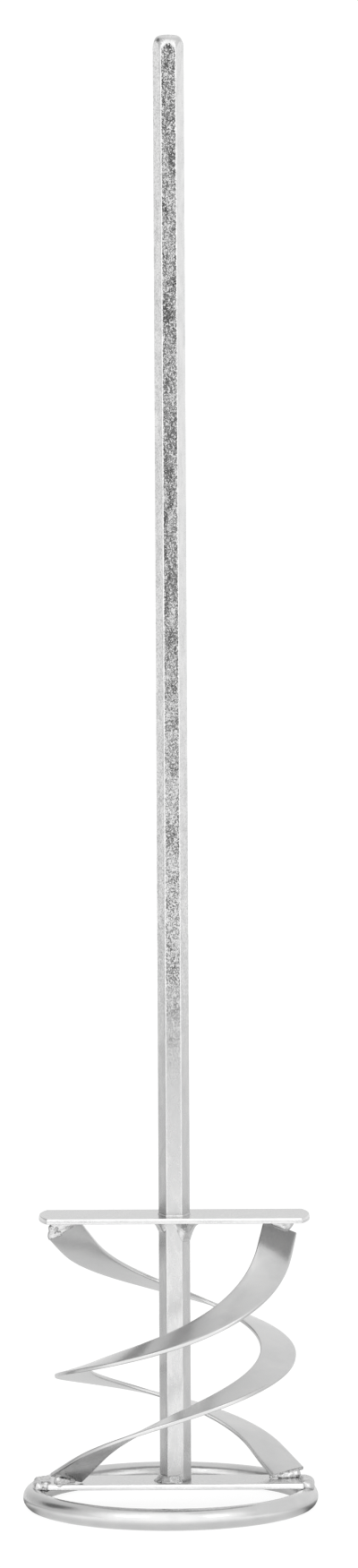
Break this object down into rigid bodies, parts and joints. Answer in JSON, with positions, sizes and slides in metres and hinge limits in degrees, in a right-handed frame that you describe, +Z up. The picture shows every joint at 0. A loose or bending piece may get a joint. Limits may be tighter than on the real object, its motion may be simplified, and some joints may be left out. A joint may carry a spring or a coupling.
{
  "type": "mortar mixing paddle",
  "caption": "Welded mixing paddle for mortar: a hexagon drill shank on a head of flat crossbars, helical blades and a round ring.",
  "frame": {"origin": "on the shank's axis, in the plane that the ring stands on", "axes": "+Z up the shank towards its free end, X along both crossbars with blade B's top end at +X, -Y towards a flat of the hexagon"},
  "size_m": [0.1065, 0.1064, 0.538],
  "materials": {
    "shank_zinc": "bright zinc plate with a fine spangle",
    "bar_zinc": "bright zinc plate, smooth rolled faces",
    "blade_zinc": "bright zinc plate, satin",
    "ring_zinc": "bright zinc plate on drawn rod, glossy",
    "weld_zinc": "zinc plate over rough weld bead"
  },
  "bodies": {
    "root": {"hex_shank": "shank_zinc", "upper_bar": "bar_zinc", "lower_bar": "bar_zinc", "blade_a": "blade_zinc", "blade_b": "blade_zinc", "ring": "ring_zinc", "shank_weld_left": "weld_zinc", "shank_weld_right": "weld_zinc", "shank_seal_weld": "weld_zinc", "shank_foot_weld": "weld_zinc", "blade_a_top_weld": "weld_zinc", "blade_b_top_weld": "weld_zinc", "blade_a_foot_weld": "weld_zinc", "blade_b_foot_weld": "weld_zinc", "ring_weld_left": "weld_zinc", "ring_weld_right": "weld_zinc"}
  },
  "joints": []
}
